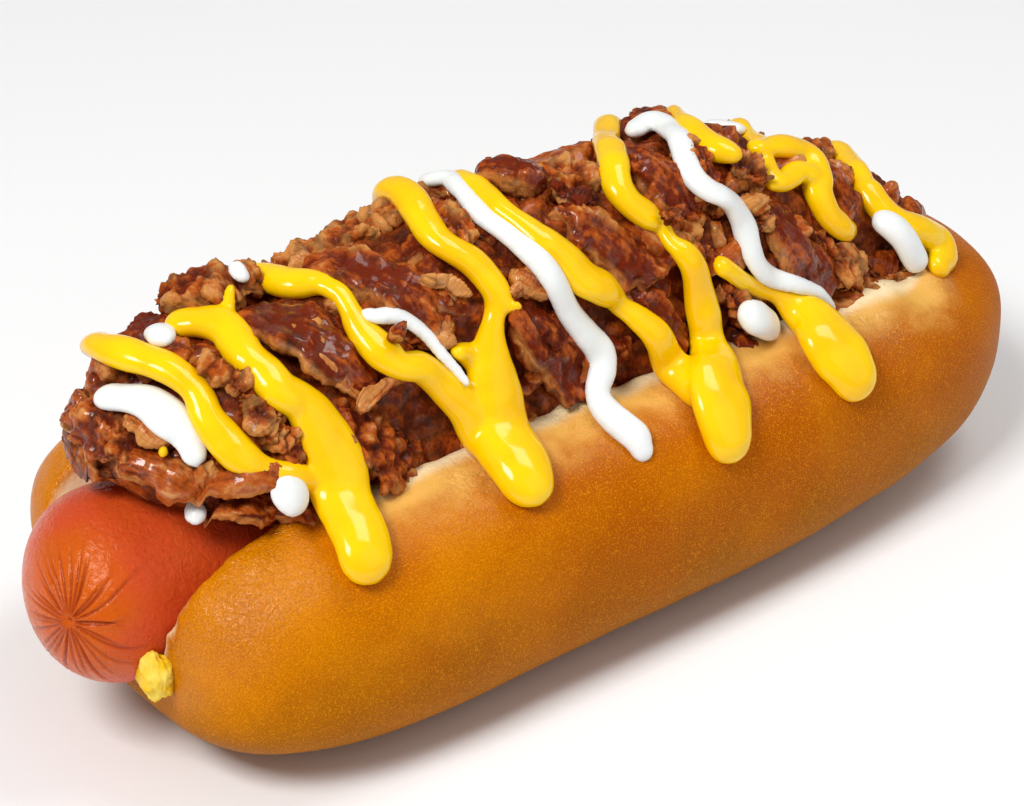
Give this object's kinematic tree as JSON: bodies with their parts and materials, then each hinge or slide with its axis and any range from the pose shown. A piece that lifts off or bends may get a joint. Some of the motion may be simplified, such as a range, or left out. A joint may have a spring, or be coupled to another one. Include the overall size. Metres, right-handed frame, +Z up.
{
  "type": "loaded hot dog",
  "caption": "Soft split roll with a thick frankfurter standing out at one end, heaped with chopped fried beef under zigzags of mustard and mayonnaise.",
  "frame": {"origin": "bottom centre of the bounding box", "axes": "+X along the roll, away from the end of the frankfurter that stands out; -Y to the front, where the sauce runs down; +Z up"},
  "size_m": [0.1676, 0.069, 0.0668],
  "materials": {
    "bun_crust": "thin golden baked crust with a soft sheen, paler along the split",
    "frankfurter_skin": "moist smooth sausage skin with puckers at its tip",
    "fried_meat": "fibrous fried meat, rough with glossy spots of fat and dark edges",
    "mustard": "smooth glossy yellow sauce",
    "mayonnaise": "smooth soft-gloss white sauce"
  },
  "bodies": {
    "root": {"bun": "bun_crust", "frankfurter": "frankfurter_skin", "meat_heap": "fried_meat"}
  },
  "joints": []
}
